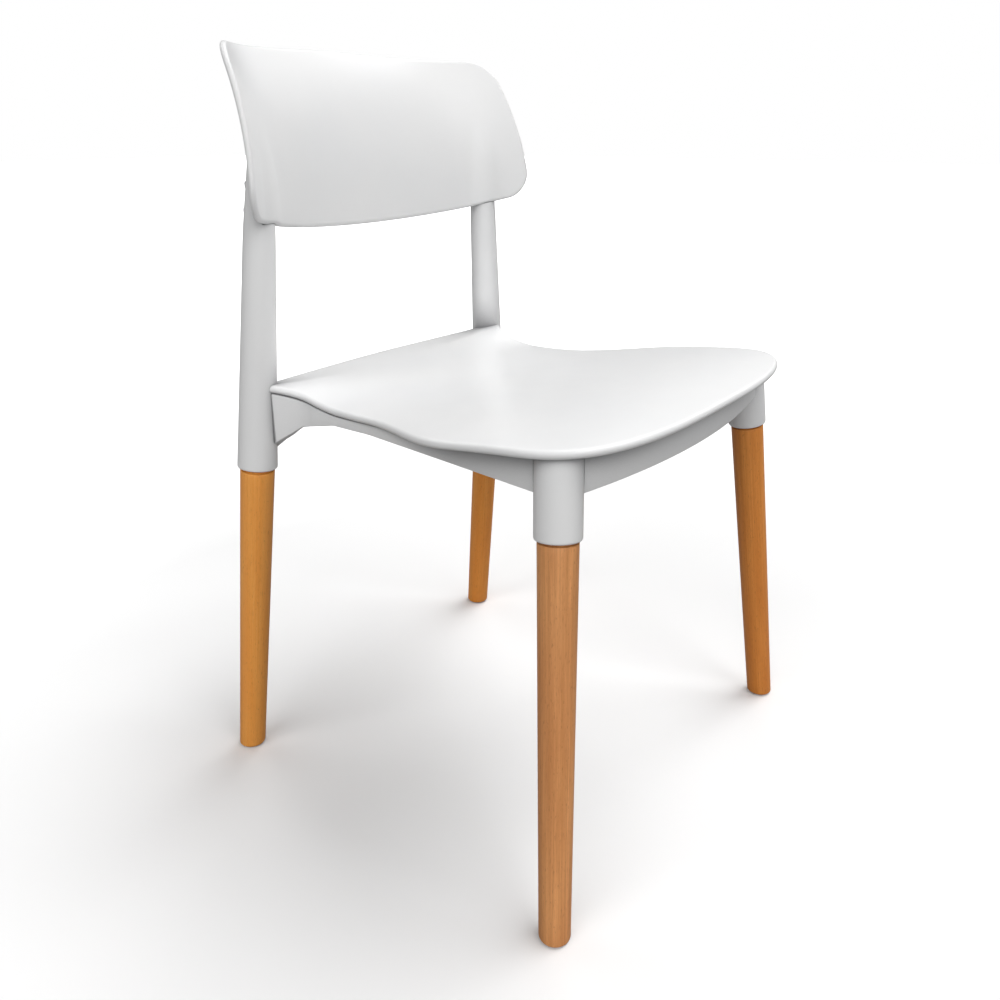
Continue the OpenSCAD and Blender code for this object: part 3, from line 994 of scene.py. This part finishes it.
def cross_recess():
    """Tapered cross that is cut into a head."""
    arms = []
    for a, b in ((2.6, 0.55), (0.55, 2.6)):
        square = np.array([[-a, -b], [a, -b], [a, b], [-a, b]])
        rings = [
            np.column_stack([square * k, np.full(4, z)])
            for k, z in ((0.62, SCREW_HEAD_L - 1.9), (1.05, SCREW_HEAD_L + 0.4))
        ]
        arms.append(loft(rings))
    return arms


def screws_object(name, lines, shank):
    """Screws at (place under the head, direction of the shank)."""
    body = [(0, -shank, 0), (SCREW_R * 0.4, -shank, 0), (SCREW_R, -shank + 2.5, 0)]
    ridge = -shank + 3
    while ridge < -1.2:
        body += [(SCREW_R, ridge, 0), (SCREW_R * 0.8, ridge + 0.35, 0), (SCREW_R, ridge + 0.7, 0)]
        ridge += 1.1
    profile = [p[:2] for p in body] + screw_head()
    origin, up = np.zeros(3), np.array([0, 0, 1.0])
    one = solid("screw", lathe(profile, origin, up, 32))
    combine(one, cross_recess())
    verts = np.array([v.co for v in one.data.vertices]) / MM - [0, DATUM_Y, 0]
    faces = [tuple(p.vertices) for p in one.data.polygons]
    bpy.data.objects.remove(one)
    parts = []
    for p, out in lines:
        turn = axes_of(p, p - out)
        parts.append((verts @ turn.T + p, faces))
        parts.append(mirrored(parts[-1]))
    return solid(name, joined(parts))


# ---------- building ----------


def build_seat(plastic):
    seat = solid("seat", seat_shell_part())
    upright = upright_cutter(SEAT_GAP)
    combine(seat, cuts=[upright, mirrored(upright)], adds=[seat_bosses()])
    finish_piece(seat, ["seat_shell"], plastic)


def build_backrest(plastic):
    finish_piece(solid("backrest", panel_part()), ["backrest_panel"], plastic)


def build_side(side, word, plastic):
    """Upright, front socket and apron of one side."""
    slab = panel_cutter(-70, BACK_T + 0.1, 0.2)
    post = solid("upright_" + word + "_piece", upright_part(side))
    combine(post, cuts=[slab] + [on_side(w, side) for w in back_screw_wells()])
    finish_piece(post, ["upright_" + word], plastic)
    socket = solid("socket_" + word + "_piece", front_socket_part(side))
    finish_piece(socket, ["front_socket_" + word], plastic)
    apron = rail("side_apron_" + word, side_rail_part(side), rail_tabs("side_rail"), (side,))
    finish_piece(apron, ["side_rail_" + word], plastic)


def build_cross_aprons(plastic):
    apron = rail("front_apron", front_rail_part(), rail_tabs("front_rail"), (-1, 1))
    finish_piece(apron, ["front_rail"], plastic)
    apron = rail("rear_apron", rear_rail_part(), rail_tabs("rear_rail"), (-1, 1))
    finish_piece(apron, ["rear_rail"], plastic)


# Each leg with its place, its side, and its light and dark wood. The tones differ from leg to leg
# partly as natural variation and partly as painted light and shade: each leg's colours are made
# lighter or darker for how the light falls on it.
LEGS = [
    ("leg_front_left", FRONT_FOOT, FRONT_RING, -1, (0.860, 0.400, 0.145, 1), (0.600, 0.245, 0.075, 1)),
    ("leg_front_right", FRONT_FOOT, FRONT_RING, 1, (0.900, 0.350, 0.065, 1), (0.700, 0.225, 0.028, 1)),
    ("leg_rear_left", REAR_FOOT, REAR_RING, -1, (0.980, 0.450, 0.095, 1), (0.900, 0.345, 0.055, 1)),
    ("leg_rear_right", REAR_FOOT, REAR_RING, 1, (0.980, 0.400, 0.075, 1), (0.880, 0.300, 0.040, 1)),
]


def build_legs():
    for k, (node, foot, ring, side, light, dark) in enumerate(LEGS):
        flip = np.array([side, 1, 1])
        shift = (0.31 * k, 0.17 * k, 0.53 * k)
        wood = beech("beech_%d" % (k + 1), light, dark, shift, foot * flip, ring * flip)
        leg = solid(node + "_piece", on_side(leg_part(foot, ring), side))
        finish_piece(leg, [node], wood)


def build_screws(steel):
    rail_set = screws_object("apron_screws", rail_screw_lines(), RAIL_SCREW_L)
    finish_piece(rail_set, ["rail_screws"], steel)
    up = np.array([0, 0, 1.0])
    places = [np.array(p, float) - [0, 0, TAB_T] for ps in TABS.values() for p, _ in ps]
    seat_set = screws_object("seat_screw_set", [(p, up) for p in places], SEAT_SCREW_L)
    finish_piece(seat_set, ["seat_screws"], steel)
    ends = [back_screw_line(v) for v, _ in BACK_SCREWS]
    back = [(p + out * seat, -out) for (p, out), (_, seat) in zip(ends, BACK_SCREWS)]
    back_set = screws_object("back_screw_set", back, BACK_SCREW_L)
    finish_piece(back_set, ["back_screws"], steel)


def build():
    plastic, steel, glide = white_plastic(), zinc_steel(), nylon()
    build_seat(plastic)
    build_backrest(plastic)
    build_side(-1, "left", plastic)
    build_side(1, "right", plastic)
    build_cross_aprons(plastic)
    finish_piece(solid("caps", back_caps_part()), ["back_screw_caps"], plastic)
    build_legs()
    build_screws(steel)
    for node, material in (("leg_bolts", steel), ("socket_inserts", steel), ("foot_glides", glide)):
        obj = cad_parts[node]
        obj.data.materials.clear()
        obj.data.materials.append(material)


# ---------- stage ----------

CAMERA_PLACE = np.array([-0.7708, -0.5417, 0.6853])
CAMERA_DIP, CAMERA_TURN = 0.3895, -0.9347
CAMERA_LENS = 32.67
DOME_STRENGTH = 0.05
FLOOR_SEEN, FLOOR_BOUNCE = (0.92, 0.92, 0.92, 1), (0.22, 0.22, 0.22, 1)
GLOW_FROM, GLOW_TO = 0.7, 3.0
# Name, compass turn (0 is the chair's right, -90 its front), height, strength, spread in degrees.
SUNS = [
    ("front_light", -100, 37, 0.94, 40),
    ("right_light", -30, 63, 1.53, 36),
    ("left_light", 180, 35, 1.15, 50),
    ("side_light", 10, 40, 0.85, 50),
    ("low_light", -135, 15, 0.52, 60),
    ("back_light", 88, 38, 0.34, 40),
]


def floor():
    """Pale floor that brightens into the backdrop all round, and bounces less than it shows."""
    m = Nodes("pale_floor")
    here = m.object_space((1, 1, 1))
    fine = m.noise(here, 40, 3)
    away = m.add("ShaderNodeVectorMath", operation="LENGTH")
    m.link(here, away.inputs[0])
    seen = m.add("ShaderNodeLightPath").outputs["Is Camera Ray"]
    glow = m.add("ShaderNodeMath", operation="MULTIPLY")
    m.link(m.remap(away.outputs["Value"], GLOW_FROM, GLOW_TO, 0.0, 1.0), glow.inputs[0])
    m.link(seen, glow.inputs[1])
    m.surface(
        Base_Color=m.mix(seen, FLOOR_BOUNCE, FLOOR_SEEN),
        Roughness=m.remap(fine, 0.3, 0.7, 0.55, 0.65),
        Emission_Color=(1, 1, 1, 1),
        Emission_Strength=glow.outputs[0],
        Specular_IOR_Level=0.0,
    )
    half = 20.0
    mesh = bpy.data.meshes.new("floor")
    mesh.from_pydata([(-half, -half, 0), (half, -half, 0), (half, half, 0), (-half, half, 0)],
                     [], [(0, 1, 2, 3)])
    mesh.materials.append(m.material)
    obj = bpy.data.objects.new("floor", mesh)
    bpy.context.scene.collection.objects.link(obj)


def sun(name, turn, height, strength, spread):
    """Wide distant light from a compass turn and a height."""
    data = bpy.data.lights.new(name, "SUN")
    data.energy, data.angle = strength, math.radians(spread)
    obj = bpy.data.objects.new(name, data)
    bpy.context.scene.collection.objects.link(obj)
    a, h = math.radians(turn), math.radians(height)
    source = Vector((math.cos(h) * math.cos(a), math.cos(h) * math.sin(a), math.sin(h)))
    obj.rotation_euler = source.to_track_quat("Z", "Y").to_euler()


def studio():
    """A faint dome that shows as a white backdrop, and wide soft lights."""
    scene = bpy.context.scene
    scene.view_settings.view_transform = "Standard"
    world = bpy.data.worlds.new("studio")
    world.use_nodes = True
    nodes, links = world.node_tree.nodes, world.node_tree.links
    backdrop = nodes.new("ShaderNodeMapRange")
    backdrop.inputs["To Min"].default_value = DOME_STRENGTH
    links.new(nodes.new("ShaderNodeLightPath").outputs["Is Camera Ray"], backdrop.inputs["Value"])
    back = nodes["Background"]
    back.inputs["Color"].default_value = (1, 1, 1, 1)
    links.new(backdrop.outputs["Result"], back.inputs["Strength"])
    scene.world = world
    for light in SUNS:
        sun(*light)


def camera():
    """Camera at the photograph's angle, which was fitted to the chair's outlines."""
    data = bpy.data.cameras.new("camera")
    data.sensor_width = 36
    data.lens = CAMERA_LENS
    data.clip_start, data.clip_end = 0.01, 100
    obj = bpy.data.objects.new("camera", data)
    bpy.context.scene.collection.objects.link(obj)
    obj.location = CAMERA_PLACE + [0, DATUM_Y * MM, 0]
    obj.rotation_euler = (math.pi / 2 - CAMERA_DIP, 0, CAMERA_TURN)
    bpy.context.scene.camera = obj


camera()
studio()
floor()
build()
